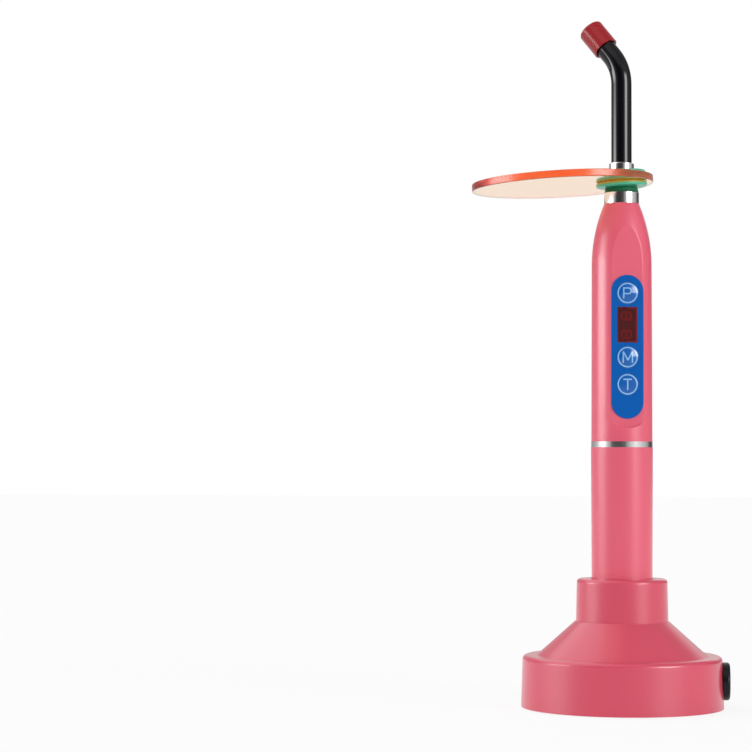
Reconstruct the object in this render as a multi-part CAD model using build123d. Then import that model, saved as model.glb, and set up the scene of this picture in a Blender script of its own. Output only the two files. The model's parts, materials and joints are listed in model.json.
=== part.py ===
from build123d import *
import os
from math import atan2, cos, pi, radians, sin, sqrt, tan

os.makedirs("parts", exist_ok=True)

# Cordless dental curing light standing in its round charging base.
# Millimetres, +Z up. The origin is on the handpiece's axis, at the surface that the base stands on.
# The shield and the bent light guide lean to -X, the charging inlet is on +X, the buttons face -Y.

# Charging base, outside
base_radius = 40.3
drum_draft = 0.6
drum_height = 20.9
shell_lift = 0.4
rim_round = 1.8
ledge_width = 5.75
cone_top_z = 34.45
neck_top_z = 51.5
neck_draft = 0.37
neck_step = 0.4
neck_round = 1.5
base_wall = 2.4

# Cup in the neck that takes the handpiece's tail
cup_clearance = 0.35
cup_wall = 2.0
cup_gap = 1.15
cup_floor_z = 20.5
cup_floor_thickness = 2.0

# Bottom plate, feet and ballast
plate_thickness = 2.0
plate_gap = 0.3
foot_radius = 4.5
foot_proud = 0.8
foot_recess = 0.8
foot_inset = 9.0
foot_count = 4
boss_inset = 8.0
boss_radius = 3.2
boss_count = 4
ballast_gap = 1.3
ballast_inner_radius = 12.0
ballast_height = 6.0
ballast_slot_width = 18.0
ballast_screw_circle = 20.0
ballast_screw_count = 3

# Screws, all self-tapping
screw_radius = 1.1
screw_head_radius = 2.2
screw_head_height = 1.1
screw_length = 7.0
thread_clearance = 0.05

# Charging board under the cup
carrier_radius = 9.0
carrier_height = 4.4
board_thickness = 1.6
charging_board_margin = 1.65
board_boss_circle = 19.5
board_boss_radius = 2.6
board_boss_count = 3
charger_length = 5.0
charger_width = 4.0
charger_height = 1.2
storage_coil_size = 5.0
storage_coil_height = 3.0
capacitor_radius = 2.0
capacitor_height = 3.6
capacitor_spacing = 8.0
charger_gap = 2.0

# Sprung charging pins
pin_radius = 0.9
pin_flange_radius = 1.2
pin_flange_height = 0.5
pin_circle = 6.75
pin_proud = 0.9
pin_spring_height = 2.4
pin_spring_turns = 3
pin_spring_wire_radius = 0.12
barrel_radius = 1.6
barrel_bore_radius = 1.3
barrel_lip = 0.6
running_gap = 0.06

# Power inlet in the drum's +X side, for a round plug of 5.5 mm with a 2.1 mm bore
inlet_z = 11.0
bezel_radius = 7.5
bezel_proud = 2.6
bezel_round = 1.1
spotface_depth = 0.35
inlet_barrel_radius = 5.0
inlet_barrel_length = 10.5
inlet_bore_radius = 2.9
inlet_bore_depth = 9.5
inlet_pin_radius = 1.0
inlet_pad_thickness = 3.4
nut_across_flats = 13.0
nut_thickness = 2.4
terminal_length = 3.4
terminal_width = 2.4
terminal_thickness = 0.5
terminal_spacing = 4.4
inlet_wire_radius = 0.5
inlet_wire_reach = 4.4

# Handpiece, rear tube
tail_radius = 12.0
rear_top_radius = 12.36
rear_bore_radius = 10.4
tail_round = 0.8
tail_cap_height = 4.0
contact_recess = 1.0
centre_contact_radius = 2.2
ring_contact_width = 2.5
contact_thickness = 0.8
rivet_radius = 0.8

# Battery, a standard cylindrical lithium cell
cell_radius = 9.2
cell_length = 65.0
cell_cap_radius = 3.4
cell_cap_height = 0.8
cell_gap = 0.25
liner_wall = 0.6
battery_spring_height = 5.0
battery_spring_turns = 4
battery_spring_wire_radius = 0.35
battery_spring_base_radius = 5.4
battery_spring_top_radius = 3.0
strip_angle = 18.0
strip_thickness = 0.2
strip_gap = 0.08
cell_contact_radius = 4.0
cell_contact_thickness = 0.6
contact_holder_height = 2.4

# Chrome ring that joins the two halves of the handpiece
joint_above_battery = 6.4
joint_height = 2.3
joint_radius = 12.3
spigot_length = 4.4
spigot_wall = 1.4
spigot_gap = 0.08

# Handpiece, front shell
front_foot_radius = 12.2
shoulder_radius = 12.0
shoulder_below_sink = 1.5
nose_radius = 7.0
nose_length = 24.8
front_bore_radius = 10.4
nose_wall = 2.0
facet_turn = 12.5
facet_offset = 10.2
facet_above_joint = 5.5
facet_end_radius = 10.0
facet_wall = 1.8
facet_round = 0.4

# Control panel and its buttons
panel_width = 13.0
panel_inset = 3.5
panel_foot_margin = 9.25
panel_head_margin = 2.85
panel_thickness = 0.4
button_radius = 4.4
button_pitch = 10.8
button_dome = {"power": 0.7, "mode": 0.7, "time": 0.3}
button_gap = 0.08
button_travel = 0.35
button_pocket_depth = 0.7
button_skirt = 0.2
stem_radius = 2.2
stem_gap = 0.1

# Display behind its window
window_width = 8.0
window_length = 14.1
window_foot_gap = 1.45
window_head_gap = 1.15
window_border = 0.6
display_depth_gap = 0.1
digit_pitch = 7.3
digit_height = 5.4
digit_width = 3.7
segment_width = 0.75
segment_gap = 0.15
segment_relief = 0.06

# Main board and what it carries
main_board_width = 15.0
main_board_foot_gap = 0.5
main_board_offset = 6.0
main_boss_radius = 2.2
main_boss_inset = 6.9
main_boss_above_power = 7.15
main_board_head_margin = 4.2
switch_size = 4.5
switch_height = 1.4
switch_actuator_radius = 1.2
buzzer_radius = 4.5
buzzer_height = 4.0
buzzer_above_boss = 7.5
controller_size = 7.0
controller_height = 1.0
controller_above_mode = 0.85
coil_size = 6.0
coil_height = 3.0
coil_gap = 7.5
driver_size = 4.0
driver_height = 1.5
driver_gap = 4.0
wire_radius = 0.6
battery_wire_spacing = 6.0
led_wire_spacing = 7.0

# Light source in the nose
heat_sink_radius = 8.2
heat_sink_above_board = 2.0
heat_sink_height = 10.0
heat_sink_seat_height = 1.6
heat_sink_seat_width = 1.1
led_board_radius = 7.0
led_board_thickness = 1.2
emitter_size = 3.4
emitter_base_height = 0.6
emitter_dome_radius = 1.2
lens_foot_radius = 3.2
lens_top_radius = 4.6
lens_height = 6.4
lens_pocket_radius = 1.7
lens_pocket_height = 2.2

# Chrome nose collar and the seal inside it
collar_height = 4.7
collar_spigot_radius = 6.0
collar_spigot_length = 11.4
collar_gap = 0.1
seal_section_radius = 0.5
seal_height_in_collar = 2.2

# Bent light guide, an 8 mm glass-fibre rod in a black coating
guide_radius = 4.1
coating_thickness = 0.3
guide_depth = 5.3
guide_straight_length = 53.85
guide_bend_radius = 18.4
guide_bend_angle = 40.5
guide_lean_turn = 28.8
guide_run_to_cap = 4.2
ferrule_radius = 5.0
ferrule_length = 20.7
ferrule_recess = 1.0
ferrule_edge = 0.35
glue_gap = 0.05

# Orange light shield and its rubber grommet
shield_radius = 36.75
shield_thickness = 3.0
shield_offset = 24.85
shield_turn = 22.2
shield_tilt = 2.8
shield_lean_turn = 6.5
shield_above_collar = 4.05
shield_edge = 0.35
grommet_radius = 10.2
grommet_top_radius = 9.8
grommet_waist_radius = 6.5
grommet_low_thickness = 1.9
grommet_top_thickness = 1.5
grommet_round = 0.7
skirt_foot_radius = 6.9
skirt_top_radius = 6.1
skirt_height = 2.8
grommet_seat_gap = 0.1

# Protective cap on the tip of the light guide
cap_radius = 5.17
cap_length = 11.1
cap_end_wall = 1.5
cap_round = 0.9
cap_clearance = 0.1

# Places that follow from the sizes above: the base
base_rim_radius = base_radius - drum_draft
cone_foot_radius = base_rim_radius - ledge_width
foot_circle = base_radius - foot_inset
boss_circle = base_radius - boss_inset
ballast_outer_radius = boss_circle - boss_radius - ballast_gap
plate_low_z = foot_proud
plate_top_z = plate_low_z + plate_thickness
cup_underside_z = cup_floor_z - cup_floor_thickness
charging_board_top_z = cup_underside_z - carrier_height
charging_board_low_z = charging_board_top_z - board_thickness
drum_taper = drum_draft / (drum_height - shell_lift)
drum_radius_at_inlet = base_radius - drum_taper * (inlet_z - shell_lift)
spotface_x = drum_radius_at_inlet - spotface_depth
inlet_pad_x = drum_radius_at_inlet - base_wall - inlet_pad_thickness
inlet_wire_start_x = spotface_x - inlet_barrel_length - terminal_length
inlet_wire_end_x = inlet_wire_start_x - inlet_wire_reach
charging_board_radius = inlet_wire_end_x + charging_board_margin

# The rear half, from its tail up to the joint ring
tail_z = cup_floor_z
contact_z = tail_z + contact_recess
cell_low_z = tail_z + tail_cap_height + battery_spring_height
cell_high_z = cell_low_z + cell_length
liner_bore_radius = cell_radius + cell_gap
liner_radius = liner_bore_radius + liner_wall
contact_holder_z = cell_high_z + cell_contact_thickness
contact_holder_top_z = contact_holder_z + contact_holder_height
joint_z = contact_holder_top_z + joint_above_battery
joint_top_z = joint_z + joint_height
rear_taper = (rear_top_radius - tail_radius) / (joint_z - tail_z)
cup_radius = tail_radius + rear_taper * (neck_top_z - tail_z) + cup_clearance
neck_top_radius = cup_radius + cup_wall + cup_gap + base_wall
neck_foot_radius = neck_top_radius + neck_draft
cone_top_radius = neck_foot_radius + neck_step

# The front half, from the joint ring up to the nose
facet_low_z = joint_top_z + facet_above_joint
panel_low_z = facet_low_z + panel_inset
time_z = panel_low_z + panel_foot_margin + button_radius
mode_z = time_z + button_pitch
window_low_z = mode_z + button_radius + window_foot_gap
window_high_z = window_low_z + window_length
power_z = window_high_z + window_head_gap + button_radius
panel_high_z = power_z + button_radius + panel_head_margin
button_z = {"power": power_z, "mode": mode_z, "time": time_z}
main_board_low_z = joint_top_z + spigot_length + main_board_foot_gap
main_boss_low_z = main_board_low_z + main_boss_inset
main_boss_high_z = power_z + main_boss_above_power
main_board_high_z = main_boss_high_z + main_board_head_margin
buzzer_z = main_boss_low_z + buzzer_above_boss
controller_z = mode_z + controller_above_mode
coil_z = controller_z + controller_size / 2 + coil_gap + coil_size / 2
driver_z = coil_z + coil_size / 2 + driver_gap + driver_size / 2
front_wall_offset = facet_offset - facet_wall
main_board_back = main_board_offset - board_thickness
heat_sink_low_z = main_board_high_z + heat_sink_above_board
led_board_z = heat_sink_low_z + heat_sink_height
lens_z = led_board_z + led_board_thickness
shoulder_z = heat_sink_low_z - shoulder_below_sink
nose_end_z = shoulder_z + nose_length
nose_inner_z = nose_end_z - nose_wall

# The collar, the light guide and the shield on the nose
collar_top_z = nose_end_z + collar_height
guide_foot_z = nose_end_z - guide_depth
guide_bend_z = guide_foot_z + guide_straight_length
ferrule_low_z = guide_foot_z + ferrule_recess
ferrule_top_z = ferrule_low_z + ferrule_length
ferrule_bore_radius = guide_radius + glue_gap
collar_bore_radius = ferrule_radius + running_gap
shield_z = collar_top_z + shield_above_collar
shield_waist_radius = grommet_waist_radius + glue_gap

UPRIGHT = (Align.CENTER, Align.CENTER, Align.MIN)

# On the facet: x runs across the panel, y is up the handpiece, z points out of the panel.
FACET = Plane(
    origin=(0, 0, 0),
    x_dir=(cos(radians(facet_turn)), sin(radians(facet_turn)), 0),
    z_dir=(sin(radians(facet_turn)), -cos(radians(facet_turn)), 0),
).location

# On the inlet: the local z axis points out of the drum along +X, and its origin is on the spotface.
INLET = Plane(origin=(spotface_x, 0, inlet_z), x_dir=(0, 1, 0), z_dir=(1, 0, 0)).location

# On the shield: the disc lies on the local xy plane, a little lower on its -X side.
SHIELD = Pos(0, 0, shield_z) * Rot(0, 0, shield_lean_turn) * Rot(0, -shield_tilt, 0)


def disc(radius, low, high, x=0, y=0):
    """A solid cylinder standing on z = low."""
    return Pos(x, y, low) * Cylinder(radius, high - low, align=UPRIGHT)


def tube(outer, inner, low, high, x=0, y=0):
    """A straight tube between two heights."""
    return disc(outer, low, high, x, y) - disc(inner, low, high, x, y)


def slab(width, length, low, high, x=0, y=0):
    """A block standing on z = low, centred on x and y."""
    return Pos(x, y, low) * Box(width, length, high - low, align=UPRIGHT)


def turned(points):
    """The solid that a closed outline of (radius, height) points sweeps around Z."""
    return revolve(Plane.XZ * make_face(Polyline(*points, close=True)), axis=Axis.Z)


def around(count, radius, start_angle=0):
    """Places evenly spaced on a circle."""
    step = 360 / count
    angles = [radians(start_angle + step * index) for index in range(count)]
    return [(radius * cos(angle), radius * sin(angle)) for angle in angles]


def rim(shape, radius, height):
    """The circular edges of a shape at one radius and height."""
    found = []
    for edge in shape.edges().filter_by(GeomType.CIRCLE):
        if abs(edge.radius - radius) < 0.001 and abs(edge.arc_center.Z - height) < 0.001:
            found.append(edge)
    return found


def coil(foot_radius, head_radius, low, high, turns, wire_radius, x=0, y=0):
    """An open coil spring: tangent arcs of a quarter turn each, with its wire swept along them."""
    steps = 4 * turns
    points = []
    for index in range(steps + 1):
        share = index / steps
        radius = foot_radius + (head_radius - foot_radius) * share
        height = low + wire_radius + (high - low - 2 * wire_radius) * share
        angle = 2 * pi * turns * share
        points.append(Vector(x + radius * cos(angle), y + radius * sin(angle), height))
    rise = (high - low - 2 * wire_radius) / (2 * pi * turns)
    heading = Vector(0, foot_radius, rise).normalized()
    arcs = []
    for start, end in zip(points, points[1:]):
        arc = TangentArc(start, end, tangent=heading)
        arcs.append(arc.edge())
        heading = arc % 1
    gap = min((points[i + 4] - points[i]).length for i in range(steps - 3)) - 2 * wire_radius
    print(f"coil of {turns} turns, least gap to itself {gap:.2f} mm")
    start_plane = Plane(origin=points[0], z_dir=Vector(0, foot_radius, rise))
    return sweep(start_plane * Circle(wire_radius), path=Wire(arcs))


def screw(length, x, y, head_low, pointing=1):
    """A pan-head screw; pointing is 1 when its tip points up."""
    head = Cylinder(screw_head_radius, screw_head_height, align=UPRIGHT)
    shaft = Pos(0, 0, screw_head_height) * Cylinder(screw_radius, length, align=UPRIGHT)
    body = head + shaft
    slot = Box(2.6 * screw_radius, 0.5 * screw_radius, screw_head_height)
    body -= slot + Rot(0, 0, 90) * slot
    return Pos(x, y, head_low) * Rot(0 if pointing > 0 else 180, 0, 0) * body


# Charging base

def base_outline():
    """The base's outside, without its cup."""
    outside = turned([
        (0, shell_lift),
        (base_radius, shell_lift),
        (base_rim_radius, drum_height),
        (cone_foot_radius, drum_height),
        (cone_top_radius, cone_top_z),
        (neck_foot_radius, cone_top_z),
        (neck_top_radius, neck_top_z),
        (0, neck_top_z),
    ])
    outside = fillet(rim(outside, base_rim_radius, drum_height), rim_round)
    return fillet(rim(outside, neck_top_radius, neck_top_z), neck_round)


def base_hollow():
    """The room inside the base's walls."""
    slope = atan2(cone_top_z - drum_height, cone_foot_radius - cone_top_radius)
    ceiling_z = drum_height - base_wall
    inner_foot = cone_foot_radius - base_wall * tan(slope / 2)
    inner_neck = neck_top_radius - base_wall
    inner_neck_z = ceiling_z + (inner_foot - inner_neck) * tan(slope)
    return turned([
        (0, shell_lift),
        (base_radius - base_wall, shell_lift),
        (base_rim_radius - base_wall, ceiling_z),
        (inner_foot, ceiling_z),
        (inner_neck, inner_neck_z),
        (inner_neck, neck_top_z - base_wall),
        (0, neck_top_z - base_wall),
    ])


def plate_radius():
    """The bottom plate fits the drum's bore with a small gap."""
    return base_radius - base_wall - drum_taper * (plate_top_z - shell_lift) - plate_gap


def make_base_shell():
    """The drum, up to the ledge that carries the neck."""
    outside = base_outline() & disc(base_radius, 0, drum_height)
    shell = outside - base_hollow()
    for x, y in around(boss_count, boss_circle, 45):
        shell += disc(boss_radius, plate_top_z, drum_height, x, y) & outside
        shell -= disc(screw_radius + thread_clearance, plate_top_z, plate_top_z + screw_length, x, y)
    pad = Pos(inlet_pad_x, 0, inlet_z) * Box(
        base_radius, 2 * bezel_radius, 2 * (inlet_z - plate_top_z),
        align=(Align.MIN, Align.CENTER, Align.CENTER),
    )
    shell += pad & (outside - disc(inlet_pad_x, 0, drum_height - base_wall / 2))
    shell -= INLET * disc(bezel_radius + running_gap, 0, base_radius)
    shell -= INLET * disc(inlet_barrel_radius + running_gap, -base_radius / 2, base_radius)
    return shell


def make_base_neck():
    """The cone and the neck above the drum, with the bosses that hold the charging board."""
    outside = base_outline()
    neck = (outside - base_hollow()) & disc(base_radius, drum_height, neck_top_z)
    for x, y in around(board_boss_count, board_boss_circle, 90):
        boss = disc(board_boss_radius, charging_board_top_z, neck_top_z, x, y) & outside
        neck += boss
        hole_top = charging_board_top_z + screw_length
        neck -= disc(screw_radius + thread_clearance, charging_board_top_z, hole_top, x, y)
    return neck - disc(cup_radius, cup_floor_z, neck_top_z)


def make_base_cup():
    """The insert in the neck that takes the handpiece's tail, held up against the neck's lip."""
    cup = disc(cup_radius + cup_wall, cup_underside_z, neck_top_z - base_wall)
    cup -= disc(cup_radius, cup_floor_z, neck_top_z)
    for x, y in pin_places():
        cup -= disc(pin_radius + running_gap, cup_underside_z, cup_floor_z, x, y)
    return cup


def pin_places():
    return [(0, 0), (0, pin_circle)]


def foot_places():
    """Feet under the drum's edge, and one in the middle."""
    return around(foot_count, foot_circle) + [(0, 0)]


def make_bottom_plate():
    plate = disc(plate_radius(), plate_low_z, plate_top_z)
    for x, y in foot_places():
        plate -= disc(foot_radius + thread_clearance, plate_low_z, plate_low_z + foot_recess, x, y)
    for x, y in plate_screw_places():
        plate -= disc(screw_radius + thread_clearance, plate_low_z, plate_top_z, x, y)
        plate -= disc(screw_head_radius + plate_gap, plate_low_z, plate_low_z + screw_head_height, x, y)
    return plate


def plate_screw_places():
    """Screws into the shell's bosses, and screws that hold the ballast."""
    return around(boss_count, boss_circle, 45) + around(ballast_screw_count, ballast_screw_circle, 60)


def make_base_screws():
    return [screw(screw_length - screw_head_height, x, y, plate_low_z) for x, y in plate_screw_places()]


def make_rubber_feet():
    feet = []
    for x, y in foot_places():
        foot = disc(foot_radius, 0, plate_low_z + foot_recess, x, y)
        feet.append(chamfer(foot.edges().group_by(Axis.Z)[0], foot_proud / 4))
    return feet


def make_ballast_weight():
    """A steel ring, open where the power inlet passes over it."""
    low = plate_top_z
    high = plate_top_z + ballast_height
    ring = tube(ballast_outer_radius, ballast_inner_radius, low, high)
    ring -= slab(base_radius, ballast_slot_width, low, high, x=base_radius / 2 + ballast_inner_radius / 2)
    for x, y in around(ballast_screw_count, ballast_screw_circle, 60):
        ring -= disc(screw_radius + thread_clearance, low, high, x, y)
    return ring


def make_charging_board():
    board = disc(charging_board_radius, charging_board_low_z, charging_board_top_z)
    for x, y in around(board_boss_count, board_boss_circle, 90):
        board -= disc(screw_radius + thread_clearance, charging_board_low_z, charging_board_top_z, x, y)
    return board


def make_charging_board_screws():
    head_low = charging_board_low_z - screw_head_height
    places = around(board_boss_count, board_boss_circle, 90)
    return [screw(screw_length, x, y, head_low) for x, y in places]


def make_charging_board_parts():
    """Charge controller, storage coil and two capacitors on the charging board."""
    top = charging_board_top_z
    edge = carrier_radius + charger_gap
    parts = [
        slab(charger_length, charger_width, top, top + charger_height, x=-edge - charger_length / 2),
        slab(
            storage_coil_size, storage_coil_size, top, top + storage_coil_height,
            y=-edge - storage_coil_size / 2,
        ),
    ]
    for side in (-1, 1):
        y = side * capacitor_spacing / 2
        parts.append(disc(capacitor_radius, top, top + capacitor_height, edge + capacitor_radius, y))
    return parts


def make_contact_carrier():
    carrier = disc(carrier_radius, charging_board_top_z, cup_underside_z)
    for x, y in pin_places():
        carrier -= disc(barrel_radius + thread_clearance, charging_board_top_z, cup_underside_z, x, y)
    return carrier


def make_pin_barrels():
    barrels = []
    for x, y in pin_places():
        barrel = disc(barrel_radius, charging_board_top_z, cup_underside_z, x, y)
        barrel -= disc(barrel_bore_radius, charging_board_top_z, cup_underside_z - barrel_lip, x, y)
        barrel -= disc(pin_radius + running_gap, charging_board_top_z, cup_underside_z, x, y)
        barrels.append(barrel)
    return barrels


def make_charging_pin(x, y):
    flange_z = charging_board_top_z + pin_spring_height
    pin = disc(pin_flange_radius, flange_z, flange_z + pin_flange_height, x, y)
    pin += disc(pin_radius, flange_z, cup_floor_z + pin_proud, x, y)
    tip = pin.edges().group_by(Axis.Z)[-1]
    return fillet(tip, pin_radius / 2)


def make_pin_spring(x, y):
    radius = pin_radius
    low = charging_board_top_z
    return coil(
        radius, radius, low, low + pin_spring_height,
        pin_spring_turns, pin_spring_wire_radius, x, y,
    )


# Power inlet

def make_inlet_socket():
    """The moulded inlet: a domed bezel outside and a threaded barrel through the drum's wall."""
    face = spotface_depth + bezel_proud
    bezel = disc(bezel_radius, 0, face)
    bezel = fillet(bezel.edges().group_by(Axis.Z)[-1], bezel_round)
    socket = bezel + disc(inlet_barrel_radius, -inlet_barrel_length, 0)
    socket -= disc(inlet_bore_radius, face - inlet_bore_depth, face)
    mouth = socket.edges().group_by(Axis.Z)[-1].sort_by(SortBy.LENGTH)[0]
    socket = chamfer(mouth, bezel_round / 3)
    socket -= disc(inlet_pin_radius + thread_clearance, -inlet_barrel_length, face)
    return INLET * socket


def make_inlet_pin():
    face = spotface_depth + bezel_proud
    pin = disc(inlet_pin_radius, -inlet_barrel_length, face - bezel_round)
    pin = fillet(pin.edges().group_by(Axis.Z)[-1], inlet_pin_radius / 2)
    return INLET * pin


def make_inlet_nut():
    seat = inlet_pad_x - spotface_x
    across = RegularPolygon(nut_across_flats / 2, 6, major_radius=False)
    nut = extrude(Pos(0, 0, seat - nut_thickness) * across, nut_thickness)
    nut -= disc(inlet_barrel_radius + thread_clearance, seat - nut_thickness, seat)
    return INLET * nut


def make_inlet_terminals():
    back = -inlet_barrel_length
    tabs = []
    for side in (-1, 1):
        y = side * terminal_spacing / 2
        tabs.append(INLET * slab(terminal_thickness, terminal_width, back - terminal_length, back, x=y))
    return tabs


def make_inlet_wires():
    """Two short leads from the inlet's tabs, up to the charging board's underside."""
    start_x = inlet_wire_start_x
    end_x = inlet_wire_end_x
    rise = charging_board_low_z - inlet_z
    wires = []
    for side in (-1, 1):
        y = side * terminal_spacing / 2
        route = FilletPolyline(
            (start_x, y, inlet_z), (end_x, y, inlet_z), (end_x, y, charging_board_low_z),
            radius=0.45 * rise,
        )
        section = Plane(origin=route @ 0, z_dir=route % 0) * Circle(inlet_wire_radius)
        wires.append(sweep(section, path=route))
    return wires


# Rear half of the handpiece

def make_rear_tube():
    body = turned([(0, tail_z), (tail_radius, tail_z), (rear_top_radius, joint_z), (0, joint_z)])
    body = fillet(rim(body, tail_radius, tail_z), tail_round)
    return body - disc(rear_bore_radius, tail_z, joint_z)


def make_tail_cap():
    cap = disc(rear_bore_radius - spigot_gap, tail_z, tail_z + tail_cap_height)
    cap -= disc(centre_contact_radius + thread_clearance, tail_z, contact_z + contact_thickness)
    inner = pin_circle - ring_contact_width / 2 - thread_clearance
    outer = pin_circle + ring_contact_width / 2 + thread_clearance
    cap -= tube(outer, inner, tail_z, contact_z + contact_thickness)
    for x, y in pin_places():
        cap -= disc(rivet_radius + thread_clearance, contact_z, tail_z + tail_cap_height, x, y)
    return cap


def make_tail_contacts():
    """A centre button and a ring, each with a rivet through the tail cap."""
    top = contact_z + contact_thickness
    rivet_top = tail_z + tail_cap_height
    centre = disc(centre_contact_radius, contact_z, top) + disc(rivet_radius, contact_z, rivet_top)
    outer = pin_circle + ring_contact_width / 2
    inner = pin_circle - ring_contact_width / 2
    ring = tube(outer, inner, contact_z, top)
    ring += disc(rivet_radius, top - contact_thickness / 2, rivet_top, y=pin_circle)
    return [centre, ring]


def make_charge_strip():
    """A thin strip between the liner and the tube that leads from the tail ring to the joint ring."""
    outer = rear_bore_radius - strip_gap
    low = tail_z + tail_cap_height
    high = joint_z - spigot_length
    profile = Polyline(
        (pin_circle - rivet_radius, low), (outer, low), (outer, high),
        (outer - strip_thickness, high), (outer - strip_thickness, low + strip_thickness),
        (pin_circle - rivet_radius, low + strip_thickness), close=True,
    )
    strip = revolve(Plane.XZ * make_face(profile), axis=Axis.Z, revolution_arc=strip_angle)
    return Rot(0, 0, 90 - strip_angle / 2) * strip


def make_battery_spring():
    low = tail_z + tail_cap_height
    return coil(
        battery_spring_base_radius, battery_spring_top_radius, low, cell_low_z,
        battery_spring_turns, battery_spring_wire_radius,
    )


def make_battery_liner():
    low = tail_z + tail_cap_height + strip_thickness + strip_gap
    return tube(liner_radius, liner_bore_radius, low, contact_holder_top_z)


def make_battery_cell():
    can = disc(cell_radius, cell_low_z, cell_high_z - cell_cap_height)
    can = fillet(can.edges(), cell_cap_height / 2)
    return can + disc(cell_cap_radius, cell_high_z - 2 * cell_cap_height, cell_high_z)


def make_cell_contact():
    return disc(cell_contact_radius, cell_high_z, contact_holder_z)


def make_contact_holder():
    return disc(liner_bore_radius - thread_clearance, contact_holder_z, contact_holder_top_z)


def make_joint_ring():
    outer = rear_bore_radius - spigot_gap
    low = joint_z - spigot_length
    high = joint_top_z + spigot_length
    ring = disc(joint_radius, joint_z, joint_top_z) + disc(outer, low, high)
    return ring - disc(outer - spigot_wall, low, high)


# Front half of the handpiece

def front_outline(foot_radius, side_radius, end_radius, end_z):
    """A slim barrel whose nose closes in along one arc, tangent to its side."""
    side = Line((foot_radius, joint_top_z), (side_radius, shoulder_z))
    nose = TangentArc((side_radius, shoulder_z), (end_radius, end_z), tangent=side % 1)
    top = Line((end_radius, end_z), (0, end_z))
    axis = Line((0, end_z), (0, joint_top_z))
    foot = Line((0, joint_top_z), (foot_radius, joint_top_z))
    return revolve(Plane.XZ * make_face([side, nose, top, axis, foot]), axis=Axis.Z)


def facet_cut():
    """The flat for the control panel, with a shallow curved step at its lower end."""
    half = front_foot_radius
    low_z = facet_low_z + facet_end_radius - sqrt(facet_end_radius**2 - (0.8 * facet_end_radius) ** 2)
    edge = 0.8 * facet_end_radius
    outline = make_face([
        ThreePointArc((-edge, low_z), (0, facet_low_z), (edge, low_z)),
        Polyline((edge, low_z), (half, low_z), (half, nose_end_z), (-half, nose_end_z),
                 (-half, low_z), (-edge, low_z)),
    ])
    return FACET * (Pos(0, 0, facet_offset) * extrude(outline, front_foot_radius))


def make_front_shell():
    outside = front_outline(front_foot_radius, shoulder_radius, nose_radius, nose_end_z)
    outside -= facet_cut()
    facet_edges = outside.edges().filter_by(GeomType.BSPLINE)
    facet_edges += [edge for edge in rim(outside, facet_end_radius, facet_low_z + facet_end_radius)]
    outside = fillet(facet_edges, facet_round)
    room = front_outline(
        front_bore_radius, front_bore_radius, collar_spigot_radius + collar_gap, nose_inner_z
    )
    behind_facet = slab(
        2 * front_foot_radius, nose_end_z - facet_low_z, front_wall_offset, front_foot_radius,
        y=(nose_end_z + facet_low_z) / 2,
    )
    room -= FACET * behind_facet
    seat_low_z = heat_sink_low_z - heat_sink_seat_height
    room -= tube(
        front_foot_radius, heat_sink_radius - heat_sink_seat_width, seat_low_z, heat_sink_low_z
    )
    for z in (main_boss_low_z, main_boss_high_z):
        room -= FACET * disc(main_boss_radius, main_board_offset, facet_offset, 0, z)
    shell = outside - room
    shell -= disc(collar_spigot_radius + collar_gap, nose_inner_z - collar_gap, nose_end_z)
    for z in (main_boss_low_z, main_boss_high_z):
        shell -= FACET * disc(
            screw_radius + thread_clearance, main_board_offset, facet_offset - facet_wall / 2, 0, z
        )
    for z in button_z.values():
        pocket = facet_offset - button_pocket_depth
        shell -= FACET * disc(button_radius + button_gap, pocket, facet_offset, 0, z)
        shell -= FACET * disc(stem_radius + stem_gap, front_wall_offset, pocket, 0, z)
    shell -= FACET * slab(
        window_width - 2 * window_border, window_high_z - window_low_z - 2 * window_border,
        front_wall_offset, facet_offset, y=(window_low_z + window_high_z) / 2,
    )
    return shell


def window_block(clearance):
    return slab(
        window_width + 2 * clearance, window_high_z - window_low_z + 2 * clearance,
        facet_offset, facet_offset + panel_thickness, y=(window_low_z + window_high_z) / 2,
    )


def make_control_panel():
    """A printed overlay with round ends, holes for the three buttons and one for the window."""
    length = panel_high_z - panel_low_z
    outline = SlotOverall(length, panel_width, rotation=90)
    middle = (panel_low_z + panel_high_z) / 2
    panel = extrude(Pos(0, middle, facet_offset) * outline, panel_thickness)
    for z in button_z.values():
        panel -= disc(button_radius + button_gap, facet_offset, facet_offset + panel_thickness, 0, z)
    return FACET * (panel - window_block(thread_clearance))


def make_display_window():
    return FACET * window_block(0)


def make_button(name):
    """A domed cap in the panel with a stem that reaches its switch."""
    z = button_z[name]
    low = facet_offset - button_skirt
    face = facet_offset + panel_thickness
    crown = button_dome[name]
    ball = (button_radius**2 + crown**2) / (2 * crown)
    cap = disc(button_radius, low, face + crown, 0, z)
    cap &= Pos(0, z, face + crown - ball) * Sphere(ball)
    stem = disc(stem_radius, actuator_top(), low, 0, z)
    return FACET * (cap + stem)


def actuator_top():
    return main_board_offset + switch_height + button_travel + 2 * button_gap


def make_actuator(name):
    low = main_board_offset + button_travel + 2 * button_gap
    return FACET * disc(switch_actuator_radius, low, actuator_top(), 0, button_z[name])


def make_tact_switches():
    switches = []
    for z in button_z.values():
        block = slab(
            switch_size, switch_size, main_board_offset, main_board_offset + switch_height, y=z
        )
        block -= disc(
            switch_actuator_radius + button_gap, main_board_offset + button_gap,
            main_board_offset + switch_height, 0, z,
        )
        switches.append(FACET * block)
    return switches


def display_top():
    return front_wall_offset - display_depth_gap


def make_display_module():
    block = slab(
        window_width, window_high_z - window_low_z, main_board_offset, display_top(),
        y=(window_low_z + window_high_z) / 2,
    )
    return FACET * block


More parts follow.
